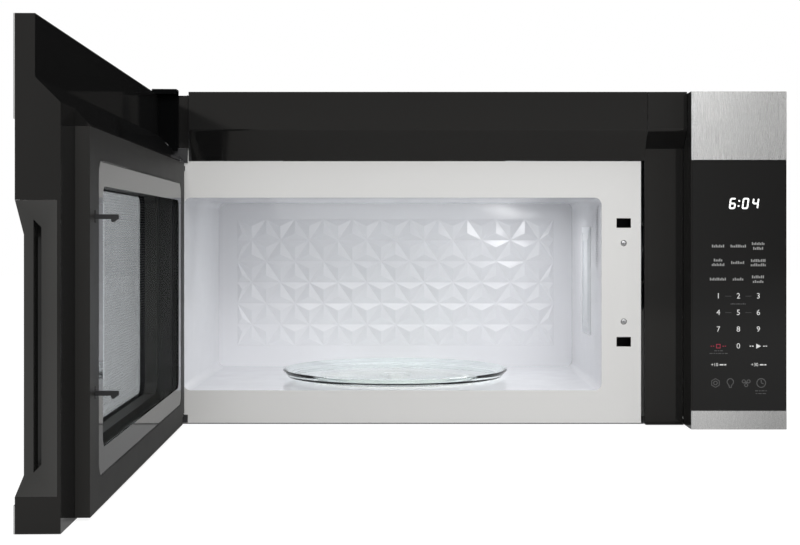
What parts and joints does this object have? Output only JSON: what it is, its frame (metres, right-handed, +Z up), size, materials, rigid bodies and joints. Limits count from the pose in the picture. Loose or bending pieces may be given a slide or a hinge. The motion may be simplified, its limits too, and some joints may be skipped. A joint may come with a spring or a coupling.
{
  "type": "over the range microwave oven",
  "caption": "Microwave oven for hanging over a range, with an open left-hinged pocket-handle door, a glass turntable, touch controls at the right and a vent blower.",
  "frame": {"origin": "centre of the rear face that lies on the wall", "axes": "+X to the right, +Y into the wall (the front faces -Y), +Z up"},
  "size_m": [0.7878, 0.9863, 0.416],
  "materials": {
    "case_black": "satin black powder coat",
    "case_grey": "satin grey enamel",
    "galvanised": "zinc-coated sheet",
    "white_enamel": "glossy white enamel",
    "white_plastic": "white moulded plastic",
    "latch_white": "black moulded plastic",
    "fin_aluminium": "bare aluminium",
    "mesh_aluminium": "pressed aluminium mesh",
    "core_steel": "varnished laminations",
    "black_plastic": "black plastic",
    "charcoal": "charcoal grains in a black frame",
    "gloss_black": "polished black plastic",
    "door_black": "glossy black enamel",
    "screen_black": "black perforated steel",
    "black_glass": "dark touch glass",
    "smoked_glass": "smoked door glass",
    "clear_pane": "clear inner pane",
    "tray_glass": "clear tempered glass",
    "lens": "clear lens",
    "board_green": "circuit board",
    "screw_steel": "zinc-plated steel",
    "black_rubber": "black rubber",
    "stainless": "brushed stainless steel"
  },
  "bodies": {
    "housing": {"outer_case": "case_black", "back_plate": "galvanised", "base_plate": "case_grey", "front_frame": "white_enamel", "cavity_liner": "white_enamel", "cavity_back": "white_enamel", "waveguide_cover": "white_plastic", "waveguide": "galvanised", "magnetron": "fin_aluminium", "power_transformer": "core_steel", "capacitor": "fin_aluminium", "hv_diode": "black_plastic", "cooling_fan_shroud": "white_plastic", "cooling_fan_motor": "core_steel", "blower_housing": "galvanised", "blower_motor": "core_steel", "charcoal_filter": "charcoal", "vent_trim": "gloss_black", "column_trim": "gloss_black", "control_panel_frame": "gloss_black", "touch_glass": "black_glass", "display_module": "black_plastic", "control_board": "board_green", "latch_board": "latch_white", "interlock_switches": "black_plastic", "frame_screws": "screw_steel", "cooktop_lamp_lenses": "lens", "cooktop_lamps": "fin_aluminium", "cord_gland": "black_rubber", "line_filter_board": "board_green", "cavity_lamp": "galvanised", "turntable_motor": "core_steel", "hinge_cover": "gloss_black", "panel_top_band": "stainless", "panel_low_band": "stainless", "grease_filter_left": "mesh_aluminium", "grease_filter_right": "mesh_aluminium", "upper_hinge_bracket": "galvanised", "lower_hinge_bracket": "galvanised"},
    "door": {"door_frame": "gloss_black", "door_glass": "smoked_glass", "door_handle": "gloss_black", "choke_frame": "door_black", "door_screen": "screen_black", "inner_window": "clear_pane", "hinge_pins": "screw_steel", "hinge_cap": "gloss_black", "door_top_band": "stainless", "door_low_band": "stainless"},
    "latch": {"latch_hooks": "black_plastic"},
    "turntable": {"turntable_coupler": "white_plastic", "glass_tray": "tray_glass"},
    "ring": {"roller_ring": "white_plastic"},
    "roller_1": {"roller_wheel_1": "white_plastic"},
    "roller_2": {"roller_wheel_2": "white_plastic"},
    "roller_3": {"roller_wheel_3": "white_plastic"},
    "blower": {"blower_wheels": "galvanised"},
    "cooling_fan": {"cooling_fan_blade": "white_plastic"}
  },
  "joints": [
    {"name": "door_hinge", "type": "hinge", "parent": "housing", "child": "door", "pos_m": [-0.3655, -0.3576, 0], "axis": [0, 0, -1], "range_deg": [-88.3, 10]},
    {"name": "latch_lift", "type": "slide", "parent": "door", "child": "latch", "axis": [0, 0, 1], "range_m": [0, 0.003], "stiffness_N_per_m": 500, "springref_m": -0.003},
    {"name": "turntable_spin", "type": "hinge", "parent": "housing", "child": "turntable", "pos_m": [-0.0976, -0.191, -0.165], "axis": [0, 0, 1], "continuous": true},
    {"name": "ring_spin", "type": "hinge", "parent": "housing", "child": "ring", "pos_m": [-0.0976, -0.191, -0.1684], "axis": [0, 0, 1], "continuous": true},
    {"name": "blower_spin", "type": "hinge", "parent": "housing", "child": "blower", "pos_m": [0, -0.076, 0.137], "axis": [1, 0, 0], "continuous": true},
    {"name": "cooling_fan_spin", "type": "hinge", "parent": "housing", "child": "cooling_fan", "pos_m": [0.2817, -0.298, -0.125], "axis": [0, 1, 0], "continuous": true},
    {"name": "roller_1_spin", "type": "hinge", "parent": "ring", "child": "roller_1", "pos_m": [-0.0006, -0.247, -0.1684], "axis": [0.866, -0.5, 0], "continuous": true},
    {"name": "roller_2_spin", "type": "hinge", "parent": "ring", "child": "roller_2", "pos_m": [-0.0976, -0.079, -0.1684], "axis": [0, 1, 0], "continuous": true},
    {"name": "roller_3_spin", "type": "hinge", "parent": "ring", "child": "roller_3", "pos_m": [-0.19459, -0.247, -0.1684], "axis": [-0.866, -0.5, 0], "continuous": true}
  ],
  "couplings": [
    {"joint": "ring_spin", "follows": "turntable_spin", "ratio": 0.5},
    {"joint": "roller_1_spin", "follows": "turntable_spin", "ratio": -8.4848},
    {"joint": "roller_2_spin", "follows": "turntable_spin", "ratio": -8.4848},
    {"joint": "roller_3_spin", "follows": "turntable_spin", "ratio": -8.4848}
  ]
}
